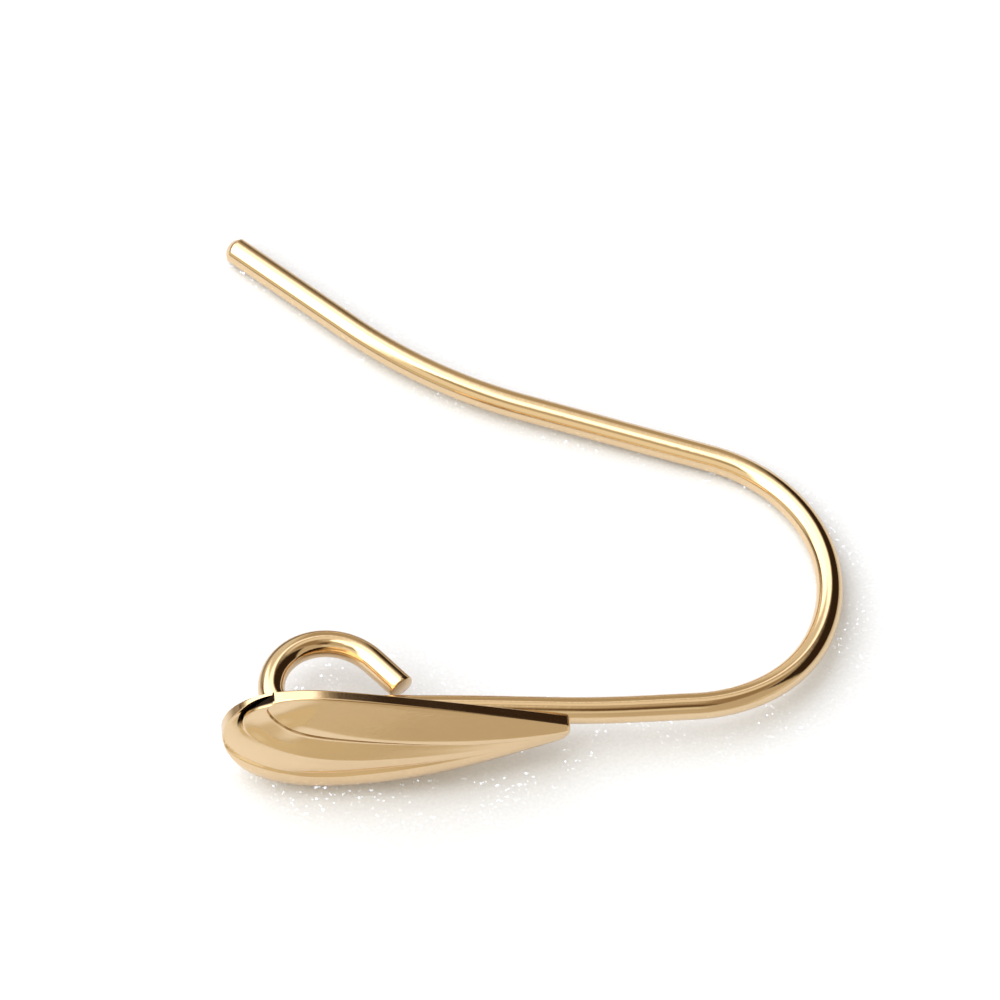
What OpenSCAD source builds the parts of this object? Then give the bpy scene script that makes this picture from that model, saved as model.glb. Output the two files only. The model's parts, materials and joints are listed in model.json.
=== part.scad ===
// Ear wire for a drop earring: a fish-hook wire with a small hanging loop,
// and a petalled leaf soldered along the front of its straight leg.
// Millimetres, +Z up. The ear wire lies on its side on the plane Z = 0, as it would on a table.

/* [Wire] */
// Diameter of the wire
wire_d = 0.8; // [0.6:0.05:1.0]
// Width of the ear gap, between the axes of the front leg and the back leg at the bend
hook_w = 9.2; // [7.5:0.1:12]
// Angle that the wire turns through in the ear bend
bend_angle = 161; // [150:1:175]
// Straight stretch of the back leg, from the ear bend to the flare
back_len = 5.8; // [4:0.1:9]
// Radius of the outward flare, on the wire's axis
flare_r = 14.4; // [8:0.2:20]
// Angle of the outward flare
flare_angle = 23; // [10:1:35]
// Straight end stretch that goes through the ear, with its domed tip
pin_len = 4.5; // [3:0.1:7]

/* [Loop] */
// Radius of the hanging loop, on the wire's axis
loop_r = 1.8; // [1.6:0.05:2.4]
// Height of the loop's centre over the axis of the front leg
loop_rise = 0.55; // [0.5:0.05:0.9]
// Inner radius of the corner where the front leg turns up into the loop
corner_inner_r = 0.2; // [0.15:0.05:0.4]
// Distance from the leaf's round end to the loop's centre
loop_inset = 3.4; // [2.8:0.1:4.5]
// Angle over the leg where the loop goes straight towards its cut end
loop_open_angle = 39; // [25:1:50]
// Gap between the loop's cut end and the front leg
loop_gap = 0.2; // [0.1:0.05:0.4]

/* [Leaf] */
// Length of the leaf
leaf_len = 10.35; // [8:0.1:13]
// Width of the leaf
leaf_w = 3.8; // [3:0.1:4.6]
// Width of the leaf's blunt tip
leaf_tip_w = 0.56; // [0.4:0.02:0.8]
// Radius of the corners of the blunt tip
leaf_tip_r = 0.12; // [0.05:0.01:0.18]
// Thickness of the leaf's rim
rim_t = 0.35; // [0.25:0.05:0.6]
// Rounding of the edge between the rim and the face
rim_round = 0.07; // [0.03:0.01:0.1]
// Height of the petals over the rim
petal_h = 0.88; // [0.4:0.02:1.1]
// How far the middle of the leaf bows to the front
leaf_bow = 0.22; // [0:0.02:0.4]
// Free stretch of the front leg, from the leaf's tip to the ear bend
leg_free = 3.85; // [2:0.05:6]
// Clear height between the wire and the leaf's back rim, at the two ends
leaf_stand = 0.07; // [0.03:0.01:0.15]
// Depth of the solder joint between the wire and the crown of the leaf's back
solder_depth = 0.05; // [0.03:0.01:0.08]

/* [Hidden] */
GOLD = [0.90, 0.74, 0.50];
$fn = 64;

wire_r = wire_d / 2;

// A ball, a hair thicker than the wire, joins each run of wire to the bend that it meets
joint_r = wire_r + 0.005;
joint_gap = 0.02;

// The pin's tip is a flat dome, a little fuller than the wire
dome_r = 1.15 * wire_r;
dome_h = dome_r - sqrt(dome_r * dome_r - wire_r * wire_r);

// The hook lies in a plane of its own: x along the front leg to the bend, y to the back leg.
// The bend starts at the origin of that plane.
bend_r = hook_w / 2;
bend_a = [0, 0];
bend_c = [0, bend_r];
bend_end_a = bend_angle - 90;
function polar(c, r, a) = [c[0] + r * cos(a), c[1] + r * sin(a)];
back_a = polar(bend_c, bend_r, bend_end_a);
back_heading = bend_angle;
back_b = polar(back_a, back_len, back_heading);
flare_c = polar(back_b, flare_r, back_heading - 90);
flare_from_a = back_heading + 90;
flare_to_a = flare_from_a - flare_angle;
pin_a = polar(flare_c, flare_r, flare_to_a);
pin_heading = back_heading - flare_angle;
pin_b = polar(pin_a, pin_len, pin_heading);
pin_rim = polar(pin_b, -dome_h, pin_heading);
dome_c = polar(pin_b, -dome_r, pin_heading);

// Leaf ends, and the loop that stands on the leg behind the leaf's round end
leaf_tip_x = -leg_free;
leaf_end_x = leaf_tip_x - leaf_len;
loop_c = [leaf_end_x + loop_inset, loop_rise];
corner_r = corner_inner_r + wire_r;
corner_c = [loop_c[0] - sqrt(pow(loop_r - corner_r, 2) - pow(loop_rise - corner_r, 2)), corner_r];
corner_a = atan2(corner_c[1] - loop_c[1], corner_c[0] - loop_c[0]);
corner_to_a = corner_a < 0 ? corner_a + 360 : corner_a;
leg_a = [corner_c[0], 0];
loop_a = polar(loop_c, loop_r, corner_to_a);
loop_b = polar(loop_c, loop_r, loop_open_angle);
loop_end_y = wire_r + loop_gap + wire_r * sin(loop_open_angle);
loop_end_len = (loop_b[1] - loop_end_y) / cos(loop_open_angle);

// Leaf outline: half width at a place x, a taper to the tip and a round wide end
widest_share = 0.256;
round_power = 2.1;
taper_power = 1.55;
leaf_mid_x = (leaf_tip_x + leaf_end_x) / 2;
leaf_wide_x = leaf_end_x + widest_share * leaf_len;
function clamp01(v) = min(max(v, 0), 1);
function taper(x) =
    let (v = clamp01((x - leaf_wide_x) / (leaf_tip_x - leaf_wide_x)))
    leaf_tip_w / 2 + (leaf_w - leaf_tip_w) / 2 * (1 - pow(v, taper_power));
function round_end(x) =
    let (v = clamp01((leaf_wide_x - x) / (leaf_wide_x - leaf_end_x)))
    leaf_w / 2 * pow(1 - pow(v, round_power), 1 / round_power);
function corner_cut(x) =
    let (d = clamp01((x - leaf_tip_x + leaf_tip_r) / leaf_tip_r))
    leaf_tip_r * (1 - sqrt(1 - d * d));
function half_width(x) = x > leaf_wide_x ? taper(x) - corner_cut(x) : round_end(x);

// Front of the rim and its back, which bow out together, and the crowned back that meets the wire
function bow(x) = leaf_bow * sin(180 * clamp01((x - leaf_end_x) / leaf_len));
function rim_front(x) = -(wire_r + leaf_stand + rim_t) - bow(x);
function rim_back(x) = rim_front(x) + rim_t;
crown_y = -(wire_r - solder_depth);
crown_run = 1.2;
crown_power = 1.5;
function crown(x, z) =
    let (v = clamp01(abs(z) / max(half_width(x), 0.01)),
         q = clamp01((x - leaf_end_x) / crown_run))
    (crown_y - rim_back(x)) * pow(1 - v * v, crown_power) * (1 - pow(1 - q, 2));

// The petals fan out from one place on the upper rim and run together at the tip.
// Section s crosses them from the upper rim to the lower rim: s = 0 at the fan, s = 1 at the tip.
fan_angle = 138;
fan_lag = 1.35;
function on_outline(a) =
    let (x = leaf_mid_x + leaf_len / 2 * cos(a))
    [x, (a <= 180 ? 1 : -1) * half_width(x)];
function upper(s) = on_outline(fan_angle * (1 - pow(s, fan_lag)));
function lower(s) = on_outline(fan_angle + (360 - fan_angle) * s);

// Sections at which the table below gives its shares
STATIONS = [0, 0.06, 0.1, 0.15, 0.2, 0.25, 0.3, 0.4, 0.6, 0.8, 1];
// Each line of the relief: its place as a share of the section's width from the upper rim,
// and its height as a share of petal_h, at each station
RIDGE  = [[0.10, 0.13, 0.20, 0.30, 0.35, 0.32, 0.30, 0.285, 0.28, 0.30, 0.25],
          [0, 0.03, 0.05, 0.06, 0.13, 0.35, 0.45, 0.56, 0.56, 0.32, 0.06]];
CREASE = [[0.18, 0.26, 0.38, 0.42, 0.42, 0.385, 0.37, 0.322, 0.32, 0.39, 0.38],
          [0, 0.06, 0.07, 0.08, 0.17, 0.41, 0.49, 0.57, 0.57, 0.33, 0.06]];
PETAL  = [[0.30, 0.37, 0.62, 0.76, 0.735, 0.64, 0.57, 0.50, 0.436, 0.46, 0.48],
          [0, 0.09, 0.03, 0.07, 0.24, 0.55, 0.77, 0.93, 0.76, 0.35, 0.06]];
GAP    = [[0.32, 0.42, 0.66, 0.79, 0.755, 0.66, 0.595, 0.525, 0.455, 0.48, 0.50],
          [-0.10, -0.34, -0.25, -0.09, 0.20, 0.55, 0.78, 0.94, 0.77, 0.35, 0.06]];
LOBE   = [[0.75, 0.75, 0.80, 0.82, 0.79, 0.70, 0.635, 0.56, 0.475, 0.50, 0.52],
          [-0.10, -0.34, -0.25, 0, 0.21, 0.53, 0.77, 0.93, 0.78, 0.35, 0.06]];
GROOVE = [[0.93, 0.94, 0.95, 0.97, 0.975, 0.955, 0.83, 0.70, 0.542, 0.53, 0.56],
          [0, -0.02, 0, 0.02, 0.08, 0.19, 0.64, 0.90, 0.79, 0.35, 0.06]];
EDGE   = [[0.95, 0.955, 0.96, 0.98, 0.985, 0.972, 0.857, 0.742, 0.588, 0.56, 0.60],
          [0, -0.02, 0, 0.02, 0.09, 0.25, 0.69, 0.99, 0.87, 0.36, 0.06]];
FLANK  = [[0.97, 0.97, 0.975, 0.985, 0.99, 0.99, 0.97, 0.93, 0.86, 0.84, 0.82],
          [0, -0.01, 0, 0.02, 0.08, 0.20, 0.48, 0.75, 0.77, 0.33, 0.06]];
SKIRT  = [[0.995, 0.995, 0.995, 0.996, 0.997, 0.997, 0.996, 0.985, 0.965, 0.96, 0.95],
          [0, 0, 0, 0.01, 0.03, 0.10, 0.25, 0.48, 0.52, 0.23, 0.05]];
// How far the flute's two middle lines stand above the straight way across it, as shares of its width
FLUTE_HIGH = [0, 0, 0, 0.03, 0.03, 0.03, 0.02, 0.01, 0.01, 0, 0];
FLUTE_LOW = [0, -0.03, -0.07, -0.05, -0.03, -0.03, -0.02, 0, 0, 0, 0];
// The same for the middle lines of the outer petal and of its flank
lobe_swell = 0.06;
flank_swell = 0.09;

// Smooth curve through a row's shares, as a cubic between each two stations
LAST = len(STATIONS) - 1;
function slope(row, i) =
    let (a = max(i - 1, 0), b = min(i + 1, LAST))
    (row[b] - row[a]) / (STATIONS[b] - STATIONS[a]);
function station_before(s, i = 0) = i < LAST - 1 && s >= STATIONS[i + 1] ? station_before(s, i + 1) : i;
function along(row, s) =
    let (i = station_before(s), d = STATIONS[i + 1] - STATIONS[i], u = (s - STATIONS[i]) / d)
    (2 * pow(u, 3) - 3 * u * u + 1) * row[i] + (pow(u, 3) - 2 * u * u + u) * d * slope(row, i)
    + (3 * u * u - 2 * pow(u, 3)) * row[i + 1] + (pow(u, 3) - u * u) * d * slope(row, i + 1);

// One closed section of the leaf: rim, face and back, all [x, y, z] in the hook's plane
BACK_SHARES = [for (i = [7:-1:1]) i / 8];
function between(a, b, t) = a + (b - a) * t;
function line(row, s) = [along(row[0], s), petal_h * along(row[1], s)];
function swell(a, b, t, rise, w) = between(a, b, t) + [0, rise * (b[0] - a[0]) * w];
function relief(s, w) =
    let (crease = line(CREASE, s), petal = line(PETAL, s), lobe = line(LOBE, s),
         groove = line(GROOVE, s), edge = line(EDGE, s), flank = line(FLANK, s))
    [line(RIDGE, s), crease,
     swell(crease, petal, 1 / 3, along(FLUTE_HIGH, s), w),
     swell(crease, petal, 2 / 3, along(FLUTE_LOW, s), w),
     petal, line(GAP, s), lobe, swell(lobe, groove, 1 / 2, lobe_swell, w),
     groove, edge, swell(edge, flank, 1 / 2, flank_swell, w), flank, line(SKIRT, s)];
function face_point(p, q, t, h) =
    let (f = between(p, q, t))
    [f[0], rim_front(f[0]) - h, f[1]];
function back_point(p, q, t) =
    let (f = between(p, q, t))
    [f[0], rim_back(f[0]) + crown(f[0], f[1]), f[1]];
function section(s) =
    let (p = upper(s), q = lower(s), w = max(norm(q - p), 0.001), e = min(rim_round / w, 0.06))
    concat(
        [[p[0], rim_back(p[0]), p[1]],
         [p[0], rim_front(p[0]) + rim_round, p[1]],
         face_point(p, q, e, 0.6 * rim_round * clamp01(w))],
        [for (r = relief(s, w)) face_point(p, q, r[0], r[1])],
        [[q[0], rim_front(q[0]), q[1]],
         [q[0], rim_back(q[0]), q[1]]],
        [for (t = BACK_SHARES) back_point(p, q, t)]);

SECTIONS = 52;
FIRST_S = 0.012;
LEAF_RINGS = [for (i = [0:SECTIONS]) section(FIRST_S + (1 - FIRST_S) * i / SECTIONS)];
RING_N = len(LEAF_RINGS[0]);
LEAF_POINTS = [for (ring = LEAF_RINGS) each ring];
LEAF_SIDES = [for (i = [0:SECTIONS - 1], j = [0:RING_N - 1])
    let (a = i * RING_N + j, b = i * RING_N + (j + 1) % RING_N)
    each [[b, a, b + RING_N], [b + RING_N, a, a + RING_N]]];
LEAF_FACES = concat(
    LEAF_SIDES,
    [[for (j = [0:RING_N - 1]) j]],
    [[for (j = [RING_N - 1:-1:0]) SECTIONS * RING_N + j]]);

// How it lies: on the end of the pin, on the bend, and on the lower rim of the leaf.
// lie_a is the way down in the hook's plane, from the leaf towards the line between pin and bend.
to_pin = pin_rim - bend_c;
lie_a = atan2(to_pin[1], to_pin[0]) - acos(bend_r / norm(to_pin));
down = [cos(lie_a), sin(lie_a)];
reach = pin_rim * down;
function lie_angle(p) =
    let (run = reach - [p[0], p[1]] * down, drop = -p[2])
    atan2(drop, run) - asin(wire_r / norm([run, drop]));
tilt = max([for (p = LEAF_POINTS) lie_angle(p)]);
tilt_axis = [-down[1], down[0], 0];

// Place of a point after it has been laid down
function laid(p) =
    let (k = tilt_axis, c = cos(tilt), s = sin(tilt))
    p * c + cross(k, p) * s + k * (k * p) * (1 - c);

// The wire's axis as points with their directions, for its box
ARC_STEPS = 90;
function arc_axis(c, r, a0, a1) = [for (i = [0:ARC_STEPS])
    let (a = a0 + (a1 - a0) * i / ARC_STEPS)
    [[c[0] + r * cos(a), c[1] + r * sin(a), 0], [-sin(a), cos(a), 0]]];
PIN_DIR = [cos(pin_heading), sin(pin_heading), 0];
WIRE_AXIS = concat(
    arc_axis(bend_c, bend_r, -90, bend_end_a),
    arc_axis(flare_c, flare_r, flare_from_a, flare_to_a),
    arc_axis(corner_c, corner_r, 270, corner_to_a),
    arc_axis(loop_c, loop_r, corner_to_a, loop_open_angle),
    [[[pin_rim[0], pin_rim[1], 0], PIN_DIR]]);
function wire_reach(k, side) = [for (q = WIRE_AXIS)
    let (p = laid(q[0]), t = laid(q[1]))
    p[k] + side * wire_r * sqrt(max(1 - t[k] * t[k], 0))];

// The dome reaches furthest where a box side is square to its sphere, else the pin's wall does
DOME_LAID = laid([dome_c[0], dome_c[1], 0]);
DOME_DIR = laid(PIN_DIR);
dome_edge = sqrt(1 - pow(wire_r / dome_r, 2));
function dome_reach(k, side) = DOME_LAID[k] + side * (side * DOME_DIR[k] > dome_edge ? dome_r : 0);
LEAF_LAID = [for (p = LEAF_POINTS) laid(p)];
function low(k) = min(concat(wire_reach(k, -1), [dome_reach(k, -1)], [for (p = LEAF_LAID) p[k]]));
function high(k) = max(concat(wire_reach(k, 1), [dome_reach(k, 1)], [for (p = LEAF_LAID) p[k]]));
box_low = [low(0), low(1), low(2)];
box_high = [high(0), high(1), high(2)];
origin = [(box_low[0] + box_high[0]) / 2, (box_low[1] + box_high[1]) / 2, box_low[2]];

// Straight wire between two places in the hook's plane. Short is how far it stops before each end.
module wire_run(a, b, short_a = joint_gap, short_b = joint_gap) {
    d = b - a;
    translate([a[0], a[1], 0])
        rotate([0, 90, atan2(d[1], d[0])])
            translate([0, 0, short_a])
                cylinder(r = wire_r, h = norm(d) - short_a - short_b);
}

// Bent wire about a centre in the hook's plane, from one angle to a larger one
module wire_arc(c, r, from_a, to_a) {
    short_a = joint_gap / r * 180 / PI;
    translate([c[0], c[1], 0])
        rotate([0, 0, from_a + short_a])
            rotate_extrude(angle = to_a - from_a - 2 * short_a)
                translate([r, 0])
                    circle(r = wire_r);
}

// Ball between a run and a bend, with its poles on the wire's axis
module joint(p, heading) {
    translate([p[0], p[1], 0])
        rotate([0, 90, heading])
            sphere(r = joint_r);
}

// What is taken off the end of the pin to leave its dome
module dome_cutter() {
    difference() {
        translate([0, 0, dome_r - dome_h])
            cylinder(r = wire_d, h = wire_d);
        sphere(r = dome_r);
    }
}

// End stretch that goes through the ear
module pin() {
    difference() {
        wire_run(pin_a, pin_b, joint_gap, 0);
        translate([dome_c[0], dome_c[1], 0])
            rotate([0, 90, pin_heading])
                dome_cutter();
    }
}

// Front leg, ear bend, back leg, flare and pin
module hook() {
    wire_run(leg_a, bend_a);
    joint(bend_a, 0);
    wire_arc(bend_c, bend_r, -90, bend_end_a);
    joint(back_a, back_heading);
    wire_run(back_a, back_b);
    joint(back_b, back_heading);
    wire_arc(flare_c, flare_r, flare_to_a, flare_from_a);
    joint(pin_a, pin_heading);
    pin();
}

// Loop that a drop hangs from, with its cut end short of the leg
module hanging_loop() {
    joint(leg_a, 0);
    wire_arc(corner_c, corner_r, corner_to_a, 270);
    joint(loop_a, corner_to_a - 90);
    wire_arc(loop_c, loop_r, loop_open_angle, corner_to_a);
    joint(loop_b, loop_open_angle - 90);
    wire_run(loop_b, polar(loop_b, loop_end_len, loop_open_angle - 90), joint_gap, 0);
}

// Leaf with its raised petals
module leaf() {
    polyhedron(points = LEAF_POINTS, faces = LEAF_FACES, convexity = 6);
}

// The whole ear wire: one piece of wire with the leaf soldered to its front leg
module ear_wire() {
    color(GOLD)
        translate(-origin)
            rotate(a = tilt, v = tilt_axis)
                union() {
                    hook();
                    hanging_loop();
                    leaf();
                }
}

ear_wire();
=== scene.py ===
import json
import math

import bpy
import numpy as np
from mathutils import Matrix, Vector


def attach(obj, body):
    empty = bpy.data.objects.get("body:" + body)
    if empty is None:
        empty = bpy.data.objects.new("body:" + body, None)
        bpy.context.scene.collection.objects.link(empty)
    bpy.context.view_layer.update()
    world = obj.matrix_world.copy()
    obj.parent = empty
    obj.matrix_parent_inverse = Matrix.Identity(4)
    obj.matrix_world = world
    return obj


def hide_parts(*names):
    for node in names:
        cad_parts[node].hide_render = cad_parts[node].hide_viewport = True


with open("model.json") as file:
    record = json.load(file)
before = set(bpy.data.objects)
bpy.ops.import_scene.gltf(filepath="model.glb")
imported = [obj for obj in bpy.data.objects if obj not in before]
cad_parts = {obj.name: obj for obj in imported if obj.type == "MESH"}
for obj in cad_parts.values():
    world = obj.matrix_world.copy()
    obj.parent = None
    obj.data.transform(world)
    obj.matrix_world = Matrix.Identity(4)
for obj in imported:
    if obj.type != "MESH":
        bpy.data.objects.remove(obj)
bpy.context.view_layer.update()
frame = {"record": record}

# Sizes are in millimetres in the hook's own plane, as in the part's source:
# x along the straight leg to the ear bend, y to the back leg, z to the side that lies up.
MM = 0.001

# Wire
WIRE_R = 0.4
HOOK_W = 9.2
BEND_ANGLE = 161
BACK_LEN = 5.8
FLARE_R = 14.4
FLARE_ANGLE = 23
PIN_LEN = 4.5
PIN_HEADING = BEND_ANGLE - FLARE_ANGLE
DOME_R = 1.15 * WIRE_R

# Hanging loop. Its cut end comes a little nearer to the leg than in the part's source.
LOOP_R = 1.8
LOOP_RISE = 0.55
CORNER_R = 0.2 + WIRE_R
LOOP_INSET = 3.4
LOOP_OPEN_ANGLE = 39
LOOP_GAP = 0.12

# Leaf
LEAF_LEN = 10.35
LEAF_W = 3.8
LEAF_TIP_W = 0.56
LEAF_TIP_R = 0.12
LEAF_TIP_R_LOW = 0.27
RIM_T = 0.35
LEAF_BOW = 0.22
LEG_FREE = 3.85
LEAF_STAND = 0.07
SOLDER_DEPTH = 0.05
LEAF_TIP_X = -LEG_FREE
LEAF_END_X = LEAF_TIP_X - LEAF_LEN

LOOP_C = (LEAF_END_X + LOOP_INSET, LOOP_RISE)
LEG_END_X = LOOP_C[0] - math.sqrt((LOOP_R - CORNER_R) ** 2 - (LOOP_RISE - CORNER_R) ** 2)
CORNER_TURN = 270 - math.degrees(math.atan2(CORNER_R - LOOP_RISE, LEG_END_X - LOOP_C[0]))
LOOP_TURN = 270 - CORNER_TURN - LOOP_OPEN_ANGLE


def hook_plane():
    """Matrix from the hook's plane to the frame. The record's two mounts say where the plane lies."""
    mounts = {m["name"]: m for m in frame["record"]["mounts"]}
    side = Vector(mounts["drop_loop"]["axis"]).normalized()
    along = Matrix.Rotation(math.radians(-PIN_HEADING), 3, side) @ Vector(mounts["ear_pin"]["axis"])
    along.normalize()
    across = side.cross(along)
    origin = Vector(mounts["drop_loop"]["pos_m"]) - MM * (along * LOOP_C[0] + across * LOOP_C[1])
    turn = Matrix((along, across, side)).transposed().to_4x4()
    return Matrix.Translation(origin) @ turn @ Matrix.Scale(MM, 4)


PLANE = hook_plane()


def make_piece(name, points, faces, material):
    """A smooth mesh from points in the hook's plane, riding on the part's one body."""
    mesh = bpy.data.meshes.new(name)
    mesh.from_pydata([PLANE @ Vector(p) for p in points], [], faces)
    mesh.validate()
    mesh.shade_smooth()
    mesh.materials.append(material)
    piece = bpy.data.objects.new(name, mesh)
    bpy.context.scene.collection.objects.link(piece)
    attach(piece, "root")
    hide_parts("ear_wire")
    return piece


def tube_faces(rings, sides):
    """Faces of a closed tube of rings, with a cap at each end."""
    faces = []
    for i in range(rings - 1):
        for j in range(sides):
            a, b = i * sides + j, i * sides + (j + 1) % sides
            faces.append((a, b, b + sides, a + sides))
    faces.append(tuple(range(sides - 1, -1, -1)))
    faces.append(tuple(range((rings - 1) * sides, rings * sides)))
    return faces


def spline(places, values, s):
    """A natural cubic spline through values at places."""
    x, y = np.array(places, float), np.array(values, float)
    n, h = len(x), np.diff(x)
    a = np.eye(n)
    b = np.zeros(n)
    for i in range(1, n - 1):
        a[i, i - 1:i + 2] = h[i - 1], 2 * (h[i - 1] + h[i]), h[i]
        b[i] = 6 * ((y[i + 1] - y[i]) / h[i] - (y[i] - y[i - 1]) / h[i - 1])
    bend = np.linalg.solve(a, b)
    i = np.clip(np.searchsorted(x, s, side="right") - 1, 0, n - 2)
    to_next, past = x[i + 1] - s, s - x[i]
    bowed = (bend[i] * to_next ** 3 + bend[i + 1] * past ** 3) / (6 * h[i])
    first = (y[i] / h[i] - bend[i] * h[i] / 6) * to_next
    second = (y[i + 1] / h[i] - bend[i + 1] * h[i] / 6) * past
    return bowed + first + second


# Bent wire
WIRE_STEP = 0.04
WIRE_SIDES = 48
BEND_EASE = 0.3
# How far the hand-bent wire strays to its left, at lengths along it from the loop's cut end
SWAY_AT = (0, 1.5, 3, 4.5, 6.5, 8, 9.6, 11.2, 12.8, 14,
           15.2, 16.8, 18.4, 19.6, 22.4, 24.2, 25.8, 27.4, 29.5, 50)
SWAY = (0.055, 0.055, 0.05, 0.03, 0, 0, 0, -0.01, -0.045, -0.08,
        -0.10, -0.055, 0.03, 0.07, 0.055, 0.06, 0.035, 0.005, 0, 0)
CUT_BEVEL = 0.05
BEVEL_SHARES = (0, 0.3, 0.7, 1)
# The cut end's slope across the wire, and the rings over which it dies out
CUT_SLANT = 0.15
CUT_SLANT_RINGS = 16
DOME_RINGS = 10


def wire_route():
    """Places and headings along the wire's axis, from the loop's cut end to the pin."""
    loop_b = (LOOP_C[0] + LOOP_R * math.cos(math.radians(LOOP_OPEN_ANGLE)),
              LOOP_C[1] + LOOP_R * math.sin(math.radians(LOOP_OPEN_ANGLE)))
    cut_y = WIRE_R + LOOP_GAP + WIRE_R * math.sin(math.radians(LOOP_OPEN_ANGLE))
    cut_len = (loop_b[1] - cut_y) / math.cos(math.radians(LOOP_OPEN_ANGLE))
    dome_h = DOME_R - math.sqrt(DOME_R ** 2 - WIRE_R ** 2)
    bend_r = HOOK_W / 2
    runs = [(cut_len, 0), (LOOP_R, LOOP_TURN), (CORNER_R, CORNER_TURN), (-LEG_END_X, 0),
            (bend_r, BEND_ANGLE), (BACK_LEN, 0), (FLARE_R, -FLARE_ANGLE), (PIN_LEN - dome_h, 0)]
    lengths = [size * math.radians(abs(turn)) if turn else size for size, turn in runs]
    curves = [math.copysign(1 / size, turn) if turn else 0.0 for size, turn in runs]
    ends = np.cumsum(lengths)
    count = int(ends[-1] / WIRE_STEP)
    at = (np.arange(count) + 0.5) * ends[-1] / count
    curve = np.array(curves)[np.searchsorted(ends, at).clip(0, len(runs) - 1)]
    window = np.hanning(2 * int(BEND_EASE / WIRE_STEP) + 3)[1:-1]
    padded = np.pad(curve, len(window) // 2, mode="edge")
    curve = np.convolve(padded, window / window.sum(), mode="valid")
    step = ends[-1] / count
    heading = np.concatenate([[0], np.cumsum(curve) * step])
    middle = (heading[1:] + heading[:-1]) / 2
    xy = np.zeros((count + 1, 2))
    xy[1:, 0] = np.cumsum(np.cos(middle)) * step
    xy[1:, 1] = np.cumsum(np.sin(middle)) * step
    leg_at = lengths[0] + lengths[1] + lengths[2] - LEG_END_X / 2
    k = int(round(leg_at / step))
    turn = -heading[k]
    rot = np.array([[math.cos(turn), -math.sin(turn)], [math.sin(turn), math.cos(turn)]])
    xy = (xy - xy[k]) @ rot.T
    xy[:, 0] += LEG_END_X / 2 + (k * step - leg_at)
    left = np.stack([-np.sin(heading + turn), np.cos(heading + turn)], axis=-1)
    xy += left * spline(SWAY_AT, SWAY, np.arange(count + 1) * step)[:, None]
    ahead = np.gradient(xy, axis=0)
    return xy, np.unwrap(np.arctan2(ahead[:, 1], ahead[:, 0]))


def wire_rings():
    """Centre, heading and radius of each ring: bevelled cut end, wire, domed tip."""
    xy, heading = wire_route()
    centres = [(*c, h, WIRE_R) for c, h in zip(xy, heading)]
    start, end = centres[0], centres[-1]
    rings = []
    for share in BEVEL_SHARES:
        angle = share * math.pi / 2
        ahead = CUT_BEVEL * (1 - math.cos(angle))
        rings.append((start[0] + ahead * math.cos(start[2]), start[1] + ahead * math.sin(start[2]),
                      start[2], WIRE_R - CUT_BEVEL * (1 - math.sin(angle))))
    rings += centres[len(BEVEL_SHARES) - 1:]
    edge = math.asin(WIRE_R / DOME_R)
    for i in range(1, DOME_RINGS):
        angle = edge * (1 - i / DOME_RINGS)
        ahead = DOME_R * (math.cos(angle) - math.cos(edge))
        rings.append((end[0] + ahead * math.cos(end[2]), end[1] + ahead * math.sin(end[2]), end[2],
                      DOME_R * math.sin(angle)))
    return rings


def make_wire(material):
    """The bent wire, with its first rings sheared so that the cut end is slanted."""
    points = []
    rings = wire_rings()
    for i, (x, y, heading, r) in enumerate(rings):
        slant = CUT_SLANT * max(0, 1 - i / CUT_SLANT_RINGS)
        for j in range(WIRE_SIDES):
            a = 2 * math.pi * j / WIRE_SIDES
            left = r * math.cos(a)
            ahead = slant * (left - WIRE_R)
            points.append((x - left * math.sin(heading) + ahead * math.cos(heading),
                           y + left * math.cos(heading) + ahead * math.sin(heading), r * math.sin(a)))
    make_piece("bent_wire", points, tube_faces(len(rings), WIRE_SIDES), material)


# Leaf outline and relief
WIDEST_SHARE = 0.256
ROUND_POWER = 2.1
TAPER_POWER = 1.55
FAN_ANGLE = 138
FAN_LAG = 1.35
CROWN_RUN = 1.2
CROWN_POWER = 1.5
CROWN_Y = -(WIRE_R - SOLDER_DEPTH)
LEAF_WIDE_X = LEAF_END_X + WIDEST_SHARE * LEAF_LEN

# Sections at which each line of the relief gives its shares, from the fan on the upper rim to the tip
STATIONS = (0, 0.06, 0.1, 0.15, 0.2, 0.25, 0.3, 0.4, 0.6, 0.8, 1)
# Each line's places across the section, as shares of its length, and its heights above the rim
RIDGE = ((0.10, 0.13, 0.20, 0.30, 0.35, 0.32, 0.30, 0.285, 0.28, 0.30, 0.25),
         (0, 0.03, 0.04, 0.05, 0.11, 0.31, 0.40, 0.49, 0.49, 0.28, 0.05))
CREASE = ((0.18, 0.26, 0.38, 0.42, 0.42, 0.385, 0.37, 0.322, 0.32, 0.39, 0.38),
          (0, 0.05, 0.06, 0.07, 0.15, 0.36, 0.43, 0.50, 0.505, 0.29, 0.05))
PETAL = ((0.30, 0.37, 0.62, 0.76, 0.735, 0.64, 0.57, 0.50, 0.436, 0.46, 0.48),
         (0, 0.08, 0.03, 0.06, 0.21, 0.48, 0.68, 0.82, 0.67, 0.31, 0.05))
GAP = ((0.32, 0.42, 0.66, 0.79, 0.755, 0.66, 0.595, 0.525, 0.455, 0.48, 0.50),
       (-0.29, -0.33, -0.24, -0.09, 0.18, 0.48, 0.685, 0.825, 0.675, 0.31, 0.05))
LOBE = ((0.75, 0.75, 0.80, 0.82, 0.79, 0.70, 0.635, 0.56, 0.475, 0.50, 0.52),
        (-0.29, -0.33, -0.24, 0, 0.19, 0.47, 0.68, 0.82, 0.685, 0.31, 0.05))
GROOVE = ((0.93, 0.94, 0.95, 0.97, 0.975, 0.955, 0.83, 0.70, 0.542, 0.53, 0.56),
          (-0.27, -0.20, -0.08, 0.02, 0.07, 0.17, 0.565, 0.79, 0.695, 0.31, 0.05))
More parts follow.
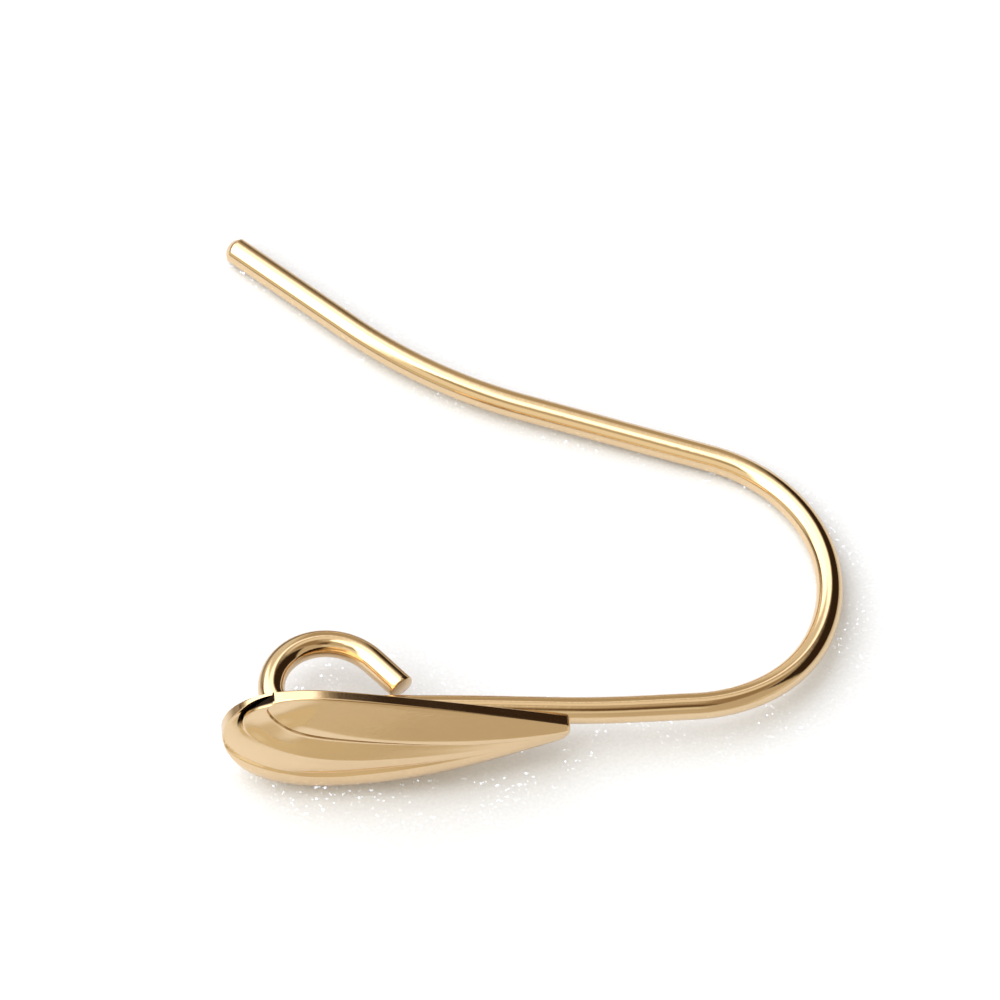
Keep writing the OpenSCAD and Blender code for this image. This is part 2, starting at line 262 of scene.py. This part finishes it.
EDGE = ((0.95, 0.955, 0.96, 0.98, 0.985, 0.972, 0.857, 0.742, 0.588, 0.56, 0.60),
        (-0.27, -0.20, -0.08, 0.02, 0.08, 0.22, 0.61, 0.87, 0.765, 0.32, 0.05))
# How far the outer rim's front edge lies below the rim, where the outer lobe ends beside the petal
NOSE_DROP = (0.27, 0.19, 0.07, 0, 0, 0, 0, 0, 0, 0, 0)
FLANK = ((0.97, 0.97, 0.975, 0.985, 0.99, 0.99, 0.97, 0.93, 0.86, 0.84, 0.82),
         (-0.27, -0.20, -0.08, 0.02, 0.07, 0.18, 0.42, 0.66, 0.68, 0.29, 0.05))
SKIRT = ((0.995, 0.995, 0.995, 0.996, 0.997, 0.997, 0.996, 0.985, 0.965, 0.96, 0.95),
         (-0.27, -0.19, -0.07, 0.01, 0.03, 0.09, 0.22, 0.42, 0.46, 0.20, 0.04))
# Heights of the flute's two middle lines above the straight way across it, as shares of a third of
# its width
FLUTE_HIGH = (0, 0, -0.04, -0.08, -0.08, -0.06, -0.03, 0, 0.02, 0, 0)
FLUTE_LOW = (0, -0.05, -0.10, -0.15, -0.15, -0.12, -0.06, 0, 0, 0, 0)
NOSE_ROUND = (0.3, 0.3, 0.3, 0.2, 0.06, 0.05, 0.05, 0.05, 0.05, 0.05, 0.05)
# Roundings of the rim's front edge, on the fan's side and on the outline's side
FAN_RIM_ROUND = (0.15, 0.12, 0.08, 0.07, 0.07, 0.07, 0.07, 0.07, 0.07, 0.07, 0.07)
OUTER_RIM_ROUND = (0.3, 0.3, 0.3, 0.3, 0.28, 0.22, 0.15, 0.1, 0.07, 0.07, 0.07)
BEAD_FADE = (0.3, 0.3, 0.5, 1, 1, 1, 1, 0.8, 0.1, 0, 0)
# Painted black shade in the crevice between the petal and the outer lobe
CREVICE = (1, 1, 0.9, 0.35, 0, 0, 0, 0, 0, 0, 0)
BEAD_W = 0.14
BEAD_H = 0.035
BEAD_DIP = 0.035
SECTIONS = 240
FIRST_S = 0.004
BACK_ROWS = 7
CORNER_POINTS = 6
EDGE_SHARES = (0.08, 0.29, 0.5, 0.71, 0.92)
# Lengths that the corner lines are rounded over, and the most of an edge that one rounding may take
FULL_ROUND = 9.0
EDGE_ROUND = 0.05
RIDGE_ROUND = 0.06
CREASE_ROUND = 0.015
DIP_ROUND = 0.01
BEAD_ROUND = 0.02
FOOT_ROUND = 0.03
GAP_ROUND = 0.02
LOBE_ROUND = 0.05
GROOVE_ROUND = 0.015
LIP_ROUND = 0.05
FLANK_ROUND = 0.3
ROUND_MOST = 0.48
# How far the lobe and the flank bulge, as shares of their widths
LOBE_ARCH = 0.06
FLANK_ARCH = 0.09
# Places across the bead of its dip and its top, and its foot's height as a share of the top's
DIP_AT = 0.2
BEAD_TOP_AT = 0.5
FOOT_HEIGHT = 0.8


def half_width(x, tip_r=LEAF_TIP_R):
    """Half the leaf's width at x, with the tip's corner rounded."""
    taper = np.clip((x - LEAF_WIDE_X) / (LEAF_TIP_X - LEAF_WIDE_X), 0, 1)
    end = np.clip((LEAF_WIDE_X - x) / (LEAF_WIDE_X - LEAF_END_X), 0, 1)
    tip = np.clip((x - LEAF_TIP_X + tip_r) / tip_r, 0, 1)
    tapered = LEAF_TIP_W / 2 + (LEAF_W - LEAF_TIP_W) / 2 * (1 - taper ** TAPER_POWER)
    tapered -= tip_r * (1 - np.sqrt(1 - tip ** 2))
    rounded = LEAF_W / 2 * (1 - end ** ROUND_POWER) ** (1 / ROUND_POWER)
    return np.where(x > LEAF_WIDE_X, tapered, rounded)


def on_outline(angle):
    """A place on the leaf's outline, by an angle that goes once round it from the tip."""
    x = (LEAF_TIP_X + LEAF_END_X) / 2 + LEAF_LEN / 2 * np.cos(np.radians(angle))
    return np.stack([x, np.where(angle <= 180, half_width(x), -half_width(x, LEAF_TIP_R_LOW))], axis=-1)


def rim_front(x):
    """The rim's front side, as y in the hook's plane."""
    bow = LEAF_BOW * np.sin(np.pi * np.clip((x - LEAF_END_X) / LEAF_LEN, 0, 1))
    return -(WIRE_R + LEAF_STAND + RIM_T) - bow


def rim_back(x):
    return rim_front(x) + RIM_T


def crown(x, z):
    """How far the leaf's back bulges towards the leg."""
    across = np.clip(np.abs(z) / np.maximum(half_width(x), 0.01), 0, 1)
    start = np.clip((x - LEAF_END_X) / CROWN_RUN, 0, 1)
    return (CROWN_Y - rim_back(x)) * (1 - across ** 2) ** CROWN_POWER * (1 - (1 - start) ** 2)


def smooth_row(values, s):
    return spline(STATIONS, values, s)


def between(p, q, t):
    return p + (q - p) * t[:, None]


def leaf_corners():
    """The corner lines of the leaf, one place for each section, with the length of each one's rounding
    and how dark the painted crevice shade is there."""
    s = FIRST_S + (1 - FIRST_S) * np.linspace(0, 1, SECTIONS)
    p = on_outline(FAN_ANGLE * (1 - s ** FAN_LAG))
    q = on_outline(FAN_ANGLE + (360 - FAN_ANGLE) * s)
    length = np.linalg.norm(q - p, axis=1)
    lines, rounds, darks = [], [], []

    def add(place, y, rounding, dark=0.0):
        lines.append(np.stack([place[:, 0], y, place[:, 1]], axis=-1))
        rounds.append(np.broadcast_to(rounding, SECTIONS))
        darks.append(np.broadcast_to(dark, SECTIONS))

    def relief(place, height, rounding, dark=0.0):
        f = between(p, q, place)
        add(f, rim_front(f[:, 0]) - height, rounding, dark)

    def row(line):
        return smooth_row(line[0], s), smooth_row(line[1], s)

    def arch(first, last, rise):
        """A line half way between two others, raised above or sunk below the straight way."""
        place = (first[0] + last[0]) / 2
        middle = (first[1] + last[1]) / 2
        relief(place, middle + rise * (last[0] - first[0]) * length, FULL_ROUND)

    ridge, crease, petal, gap, lobe = row(RIDGE), row(CREASE), row(PETAL), row(GAP), row(LOBE)
    groove, edge, flank, skirt = row(GROOVE), row(EDGE), row(FLANK), row(SKIRT)
    bead = BEAD_W * smooth_row(BEAD_FADE, s).clip(0, 1)
    bead = np.minimum(bead / length, (petal[0] - crease[0]) / 3)
    grow = bead * length / BEAD_W
    add(p, rim_back(p[:, 0]), EDGE_ROUND)
    add(p, rim_front(p[:, 0]), smooth_row(FAN_RIM_ROUND, s))
    relief(*ridge, RIDGE_ROUND)
    relief(*crease, CREASE_ROUND)
    relief(crease[0] + bead * DIP_AT, crease[1] - BEAD_DIP * grow, DIP_ROUND)
    relief(crease[0] + bead * BEAD_TOP_AT, crease[1] + BEAD_H * grow, BEAD_ROUND)
    foot = crease[0] + bead, crease[1] + BEAD_H * FOOT_HEIGHT * grow
    relief(*foot, FOOT_ROUND)
    third = (petal[0] - foot[0]) / 3
    high = foot[1] + (petal[1] - foot[1]) / 3 + smooth_row(FLUTE_HIGH, s) * third * length
    low = foot[1] + (petal[1] - foot[1]) * 2 / 3 + smooth_row(FLUTE_LOW, s) * third * length
    relief(foot[0] + third, high, FULL_ROUND)
    relief(foot[0] + 2 * third, low, FULL_ROUND)
    relief(*petal, smooth_row(NOSE_ROUND, s).clip(0.04, 1))
    # Painted shade: how black the crevice is, carried on the gap and lobe lines
    crevice = smooth_row(CREVICE, s).clip(0, 1)
    relief(*gap, GAP_ROUND, crevice)
    relief(*lobe, LOBE_ROUND, crevice)
    arch(lobe, groove, LOBE_ARCH)
    relief(*groove, GROOVE_ROUND)
    relief(*edge, LIP_ROUND)
    arch(edge, flank, FLANK_ARCH)
    relief(*flank, FLANK_ROUND)
    relief(*skirt, FLANK_ROUND)
    add(q, rim_front(q[:, 0]) + smooth_row(NOSE_DROP, s).clip(0, 1), smooth_row(OUTER_RIM_ROUND, s))
    add(q, rim_back(q[:, 0]), EDGE_ROUND)
    for i in range(BACK_ROWS, 0, -1):
        f = between(p, q, np.full(SECTIONS, i / (BACK_ROWS + 1)))
        add(f, rim_back(f[:, 0]) + crown(f[:, 0], f[:, 1]), FULL_ROUND)
    return [np.stack(rows, axis=1) for rows in (lines, rounds, darks)]


def rounded_rings(corners, rounds):
    """Each section as a closed ring, with its corners turned into curves."""
    before = np.roll(corners, 1, axis=1) - corners
    after = np.roll(corners, -1, axis=1) - corners
    len_before = np.linalg.norm(before, axis=2, keepdims=True)
    len_after = np.linalg.norm(after, axis=2, keepdims=True)
    reach = np.minimum(rounds[:, :, None], ROUND_MOST * np.minimum(len_before, len_after))
    start = corners + before / np.maximum(len_before, 1e-9) * reach
    end = corners + after / np.maximum(len_after, 1e-9) * reach
    points = []
    for k in range(CORNER_POINTS):
        u = k / (CORNER_POINTS - 1)
        points.append((1 - u) ** 2 * start + 2 * u * (1 - u) * corners + u * u * end)
    following = np.roll(start, -1, axis=1)
    points += [end + (following - end) * share for share in EDGE_SHARES]
    rings = np.stack(points, axis=2)
    return rings.reshape(len(corners), -1, 3)


def ring_darks(darks):
    """The painted crevice shade at each point of the rounded sections."""
    after = np.roll(darks, -1, axis=1)
    shares = [0.0] * CORNER_POINTS + list(EDGE_SHARES)
    return np.stack([darks + (after - darks) * share for share in shares], axis=2).reshape(len(darks), -1)


def make_leaf(material):
    """The leaf, with its painted crevice shade as an attribute of the mesh."""
    corners, rounds, darks = leaf_corners()
    rings = rounded_rings(corners, rounds)
    faces = tube_faces(rings.shape[0], rings.shape[1])
    leaf = make_piece("leaf", rings.reshape(-1, 3), [f[::-1] for f in faces], material)
    # The painted crevice shade is stored as a point attribute of the mesh
    painted_crevice_shade = leaf.data.attributes.new(CREVICE_SHADE_MAP, "FLOAT", "POINT")
    painted_crevice_shade.data.foreach_set("value", ring_darks(darks).ravel())


# Shader nodes
def math_node(tree, operation, *values):
    """A maths node with its inputs set or linked, and its output."""
    node = tree.nodes.new("ShaderNodeMath")
    node.operation = operation
    for socket, value in zip(node.inputs, values):
        if isinstance(value, (int, float)):
            socket.default_value = value
        else:
            tree.links.new(value, socket)
    return node.outputs[0]


def ramp(tree, value, low, high):
    """0 below low, 1 above high and smooth between them."""
    node = tree.nodes.new("ShaderNodeMapRange")
    node.interpolation_type = "SMOOTHSTEP"
    node.inputs["From Min"].default_value = low
    node.inputs["From Max"].default_value = high
    tree.links.new(value, node.inputs["Value"])
    return node.outputs["Result"]


def span(tree, value, limits, soft):
    """1 between two limits, with soft sides."""
    inside = ramp(tree, value, limits[0] - soft, limits[0] + soft)
    outside = ramp(tree, value, limits[1] - soft, limits[1] + soft)
    return math_node(tree, "SUBTRACT", inside, outside)


def bearing(tree, vector):
    """The azimuth of a vector in the studio, in degrees, and its upward part."""
    split = tree.nodes.new("ShaderNodeSeparateXYZ")
    tree.links.new(vector, split.inputs[0])
    x, y, z = split.outputs
    turn = math.radians(VIEW_AZIMUTH)
    side = math_node(tree, "ADD", math_node(tree, "MULTIPLY", x, math.cos(turn)),
                     math_node(tree, "MULTIPLY", y, math.sin(turn)))
    ahead = math_node(tree, "SUBTRACT", math_node(tree, "MULTIPLY", y, math.cos(turn)),
                      math_node(tree, "MULTIPLY", x, math.sin(turn)))
    return math_node(tree, "DEGREES", math_node(tree, "ARCTAN2", side, ahead)), z


def blend(tree, share, first, second):
    """A colour between two others. Each one is a constant or another node's output."""
    node = tree.nodes.new("ShaderNodeMix")
    node.data_type = "RGBA"
    tree.links.new(share, node.inputs["Factor"])
    for socket, colour in ((node.inputs[6], first), (node.inputs[7], second)):
        if isinstance(colour, tuple):
            socket.default_value = colour
        else:
            tree.links.new(colour, socket)
    return node.outputs[2]


def noise(tree, place, scale, detail):
    """A noise texture's value, with scale in turns to a metre."""
    node = tree.nodes.new("ShaderNodeTexNoise")
    node.inputs["Scale"].default_value = scale
    node.inputs["Detail"].default_value = detail
    tree.links.new(place, node.inputs["Vector"])
    return node.outputs["Fac"]


# Materials
GOLD = (0.83, 0.61, 0.35, 1)
# Painted shade: dark brown in hollows within a reach in millimetres, and black in the leaf's crevice by
# the mesh's attribute; each comes in over a range of openness or of the attribute
PAINTED_HOLLOW_SHADE = (0.16, 0.09, 0.045, 1)
HOLLOW_SHADE_REACH = 0.16
CREVICE_SHADE_MAP = "painted_crevice_shade"
CREVICE_BLACK = (0.012, 0.007, 0.004, 1)
HOLLOW_SHADE_OPENNESS = (0.1, 0.7)
CREVICE_SHARES = (0.05, 0.3)
WIRE_ROUGHNESS = 0.07
LEAF_ROUGHNESS = 0.13
DULL_SPREAD = (0.7, 1.5)
DULL_SCALE = 900
WIRE_RIPPLE = 0.0015
LEAF_RIPPLE = 0.002
RIPPLE_SCALE = 5000
FLOOR_ROUGHNESS = 0.5
GRAIN_SCALE = 9000
GRAIN_SHARES = (0.3, 0.7)
SPECK_SCALE = 8000
SPECK_SHARES = (0.64, 0.72)
SPECK_PATCH_SCALE = 900
SPECK_PATCH_SHARES = (0.42, 0.6)
FLOOR_WHITE = (0.94, 0.97, 1.0, 1)
FLOOR_GREY = (0.89, 0.92, 0.955, 1)
# Painted glints: the strength and colour of the glow of the board's specks
PAINTED_GLINT = 0.9
PAINTED_GLINT_COLOUR = (0.85, 1.0, 1.25, 1)
# The board as the metal mirrors it, with painted shade: its colour near and far, and a painted dark side
# of it as seen from the pivot
FLOOR_PIVOT = (9.0, -2.0, 0.0)
FLOOR_NEAR = 5.0
FLOOR_FAR = 40.0
FLOOR_NEAR_SHADE = (0.80, 0.84, 0.94, 1)
FLOOR_FAR_SHADE = (0.56, 0.53, 0.47, 1)
FLOOR_DARK_SHADE = (0.12, 0.08, 0.05, 1)
FLOOR_DARK_SIDE = (-110, -38)
FLOOR_DARK_SOFT = 10
FLOOR_DARK_NEAR = 2.8
FLOOR_DARK_FAR = 6.0


def new_material(name):
    material = bpy.data.materials.new(name)
    material.use_nodes = True
    return material, material.node_tree, material.node_tree.nodes["Principled BSDF"]


def gold_material(name, ripple, roughness):
    """Polished gold plate: fine ripples of the polish, patches that are a little duller, and painted
    shade, dark brown in hollows and black in the leaf's crevice."""
    material, tree, shader = new_material(name)
    shader.inputs["Base Color"].default_value = GOLD
    shader.inputs["Metallic"].default_value = 1
    # Painted shade in hollows: the gold turns dark brown where ambient occlusion finds the surface hemmed
    # in
    hollow = tree.nodes.new("ShaderNodeAmbientOcclusion")
    hollow.samples = 4
    hollow.inputs["Distance"].default_value = HOLLOW_SHADE_REACH * MM
    unshaded = ramp(tree, hollow.outputs["AO"], *HOLLOW_SHADE_OPENNESS)
    # Painted shade in the leaf's crevice: black where the mesh's attribute says so
    mapped = tree.nodes.new("ShaderNodeAttribute")
    mapped.attribute_name = CREVICE_SHADE_MAP
    black = ramp(tree, mapped.outputs["Fac"], *CREVICE_SHARES)
    metal = blend(tree, black, blend(tree, unshaded, PAINTED_HOLLOW_SHADE, GOLD), CREVICE_BLACK)
    tree.links.new(metal, shader.inputs["Base Color"])
    place = tree.nodes.new("ShaderNodeTexCoord").outputs["Object"]
    spread = tree.nodes.new("ShaderNodeMapRange")
    spread.inputs["To Min"].default_value = roughness * DULL_SPREAD[0]
    spread.inputs["To Max"].default_value = roughness * DULL_SPREAD[1]
    tree.links.new(noise(tree, place, DULL_SCALE, 4), spread.inputs["Value"])
    tree.links.new(spread.outputs["Result"], shader.inputs["Roughness"])
    bump = tree.nodes.new("ShaderNodeBump")
    bump.inputs["Distance"].default_value = ripple * MM
    tree.links.new(noise(tree, place, RIPPLE_SCALE, 3), bump.inputs["Height"])
    tree.links.new(bump.outputs["Normal"], shader.inputs["Normal"])
    return material


def floor_material():
    """White board with a fine grain and painted glints, specks that glow in places. In reflections it has
    painted shade: it grows darker with distance, as the room's own light would, and darker still on one
    side."""
    material, tree, shader = new_material("white_board")
    shader.inputs["Roughness"].default_value = FLOOR_ROUGHNESS
    place = tree.nodes.new("ShaderNodeNewGeometry").outputs["Position"]
    offset = tree.nodes.new("ShaderNodeVectorMath")
    offset.operation = "SUBTRACT"
    offset.inputs[1].default_value = [MM * value for value in FLOOR_PIVOT]
    tree.links.new(place, offset.inputs[0])
    azimuth = bearing(tree, offset.outputs["Vector"])[0]
    path = tree.nodes.new("ShaderNodeLightPath")
    # Painted shade in reflections: the board that the metal mirrors grows darker as the mirrored ray grows
    # longer
    distance = math_node(tree, "LOGARITHM", path.outputs["Ray Length"], math.e)
    far = ramp(tree, distance, math.log(FLOOR_NEAR * MM), math.log(FLOOR_FAR * MM))
    painted_mirror_shade = blend(tree, far, FLOOR_NEAR_SHADE, FLOOR_FAR_SHADE)
    # Painted dark side of the board in reflections, where the mirrored ray is longer than a few
    # millimetres, on one side as seen from the pivot
    edge = ramp(tree, distance, math.log(FLOOR_DARK_NEAR * MM), math.log(FLOOR_DARK_FAR * MM))
    dark = math_node(tree, "MULTIPLY", edge, span(tree, azimuth, FLOOR_DARK_SIDE, FLOOR_DARK_SOFT))
    painted_mirror_shade = blend(tree, dark, painted_mirror_shade, FLOOR_DARK_SHADE)
    grain = ramp(tree, noise(tree, place, GRAIN_SCALE, 3), *GRAIN_SHARES)
    seen = blend(tree, grain, FLOOR_GREY, FLOOR_WHITE)
    tree.links.new(blend(tree, path.outputs["Is Glossy Ray"], seen, painted_mirror_shade), shader.inputs["Base Color"])
    # Painted glints: specks in patches of the board glow with emission
    specks = ramp(tree, noise(tree, place, SPECK_SCALE, 1), *SPECK_SHARES)
    patches = ramp(tree, noise(tree, place, SPECK_PATCH_SCALE, 2), *SPECK_PATCH_SHARES)
    painted_glint = math_node(tree, "MULTIPLY", math_node(tree, "MULTIPLY", specks, patches), PAINTED_GLINT)
    shader.inputs["Emission Color"].default_value = PAINTED_GLINT_COLOUR
    tree.links.new(painted_glint, shader.inputs["Emission Strength"])
    return material


# Studio: angles are measured at the part, from the way that the camera looks, positive to its right.
# The view's scale is in pixels to a millimetre, its distance and the floor's size in metres.
VIEW_CENTRE = (-5.0534, 7.4744, 0)
VIEW_AZIMUTH = -15.5
VIEW_ELEVATION = 59.4
VIEW_ROLL = 11.75
VIEW_DISTANCE = 0.6
VIEW_SCALE = 33.72
IMAGE_SIZE = 1000
SENSOR = 36
CLIP = (0.01, 10)
FLOOR_SIZE = 3.0
BACKDROP = (1.0, 1.0, 1.0)

# The room that the metal reflects: a base colour, then patches painted over it one after another.
# Each one is the azimuths and elevations that it spans, how soft its sides and ends are, and its colour.
ROOM_BASE = (0.60, 0.54, 0.44)
ROOM = (
    ((158, 202), (-10, 16), (12, 6), (0.76, 0.69, 0.54)),
    ((-202, -146), (-10, 16), (10, 6), (0.76, 0.68, 0.52)),
    ((160, 202), (18, 50), (12, 6), (0.85, 0.80, 0.68)),
    ((-202, -140), (18, 52), (10, 6), (0.98, 0.94, 0.84)),
    ((-146, -96), (-10, 24), (8, 4), (0.76, 0.71, 0.58)),
    ((-97, -47), (-10, 9), (8, 4), (0.12, 0.08, 0.06)),
    ((-60, 2), (-10, 64), (14, 6), (0.80, 0.77, 0.71)),
    ((-14, 9), (-10, 38), (6, 6), (0.48, 0.41, 0.31)),
    ((92, 122), (-10, 10), (8, 6), (0.80, 0.76, 0.68)),
    ((9, 92), (5, 50), (4, 5), (0.035, 0.02, 0.012)),
    ((20, 96), (-10, 3), (6, 4), (0.86, 0.84, 0.82)),
    ((1, 38), (54, 74), (6, 4), (0.94, 0.88, 0.82)),
    ((46, 144), (53, 72), (8, 4), (0.34, 0.25, 0.16)),
    ((120, 143), (51, 67), (6, 4), (0.14, 0.09, 0.05)),
    ((138, 158), (34, 49), (5, 4), (0.80, 0.76, 0.68)),
    ((-172, -145), (54, 65), (8, 4), (0.45, 0.41, 0.31)),
    ((-48, 1), (42, 90), (5, 4), (1.75, 1.75, 1.9)),
    ((-90, -42), (14, 90), (8, 4), (2.4, 2.4, 2.4)),
    ((-142, -88), (23, 90), (7, 5), (3.2, 3.2, 3.2)),
    ((-202, 20), (72, 90), (12, 3), (1.6, 1.6, 1.6)),
    ((-142, -42), (60, 90), (8, 5), (3.0, 3.0, 3.0)),
    ((-202, 202), (80, 90), (1, 3), (2.5, 2.5, 2.5)),
)


def direction(azimuth, elevation):
    """A unit vector to a place in the studio, as the camera sees it: azimuth 0 is beyond the part."""
    a, e = math.radians(azimuth - VIEW_AZIMUTH), math.radians(elevation)
    return Vector((math.sin(a) * math.cos(e), math.cos(a) * math.cos(e), math.sin(e)))


def make_camera():
    """The camera at the photograph's viewing angle."""
    data = bpy.data.cameras.new("camera")
    data.sensor_width = SENSOR
    data.lens = VIEW_SCALE / MM * SENSOR * VIEW_DISTANCE / IMAGE_SIZE
    data.clip_start, data.clip_end = CLIP
    camera = bpy.data.objects.new("camera", data)
    bpy.context.scene.collection.objects.link(camera)
    bpy.context.scene.camera = camera
    away = direction(180, VIEW_ELEVATION)
    camera.rotation_mode = "QUATERNION"
    camera.location = PLANE @ Vector(VIEW_CENTRE) + away * VIEW_DISTANCE
    facing = (-away).to_track_quat("-Z", "Y")
    roll = Matrix.Rotation(math.radians(VIEW_ROLL), 4, "Z").to_quaternion()
    camera.rotation_quaternion = facing @ roll


def make_floor():
    """The board that the part lies on."""
    half = FLOOR_SIZE / 2
    mesh = bpy.data.meshes.new("floor")
    mesh.from_pydata([(-half, -half, 0), (half, -half, 0), (half, half, 0), (-half, half, 0)], [],
                     [(0, 1, 2, 3)])
    mesh.materials.append(floor_material())
    floor = bpy.data.objects.new("floor", mesh)
    bpy.context.scene.collection.objects.link(floor)


def make_world():
    """The room that shows in the reflections, which the camera itself sees as a white backdrop."""
    world = bpy.data.worlds.new("room")
    bpy.context.scene.world = world
    world.use_nodes = True
    tree = world.node_tree
    room = tree.nodes["Background"]
    azimuth, up = bearing(tree, tree.nodes.new("ShaderNodeTexCoord").outputs["Generated"])
    elevation = math_node(tree, "DEGREES", math_node(tree, "ARCSINE", up))
    colour = (*ROOM_BASE, 1)
    for azimuths, elevations, soft, patch in ROOM:
        mask = math_node(tree, "MULTIPLY", span(tree, azimuth, azimuths, soft[0]),
                         span(tree, elevation, elevations, soft[1]))
        colour = blend(tree, mask, colour, (*patch, 1))
    tree.links.new(colour, room.inputs["Color"])
    white = tree.nodes.new("ShaderNodeBackground")
    white.inputs["Color"].default_value = (*BACKDROP, 1)
    seen = tree.nodes.new("ShaderNodeLightPath")
    mix = tree.nodes.new("ShaderNodeMixShader")
    tree.links.new(seen.outputs["Is Camera Ray"], mix.inputs["Fac"])
    tree.links.new(room.outputs["Background"], mix.inputs[1])
    tree.links.new(white.outputs["Background"], mix.inputs[2])
    tree.links.new(mix.outputs["Shader"], tree.nodes["World Output"].inputs["Surface"])


make_wire(gold_material("gold_wire", WIRE_RIPPLE, WIRE_ROUGHNESS))
make_leaf(gold_material("gold_leaf", LEAF_RIPPLE, LEAF_ROUGHNESS))
make_camera()
make_floor()
make_world()
bpy.context.scene.view_settings.view_transform = "Standard"
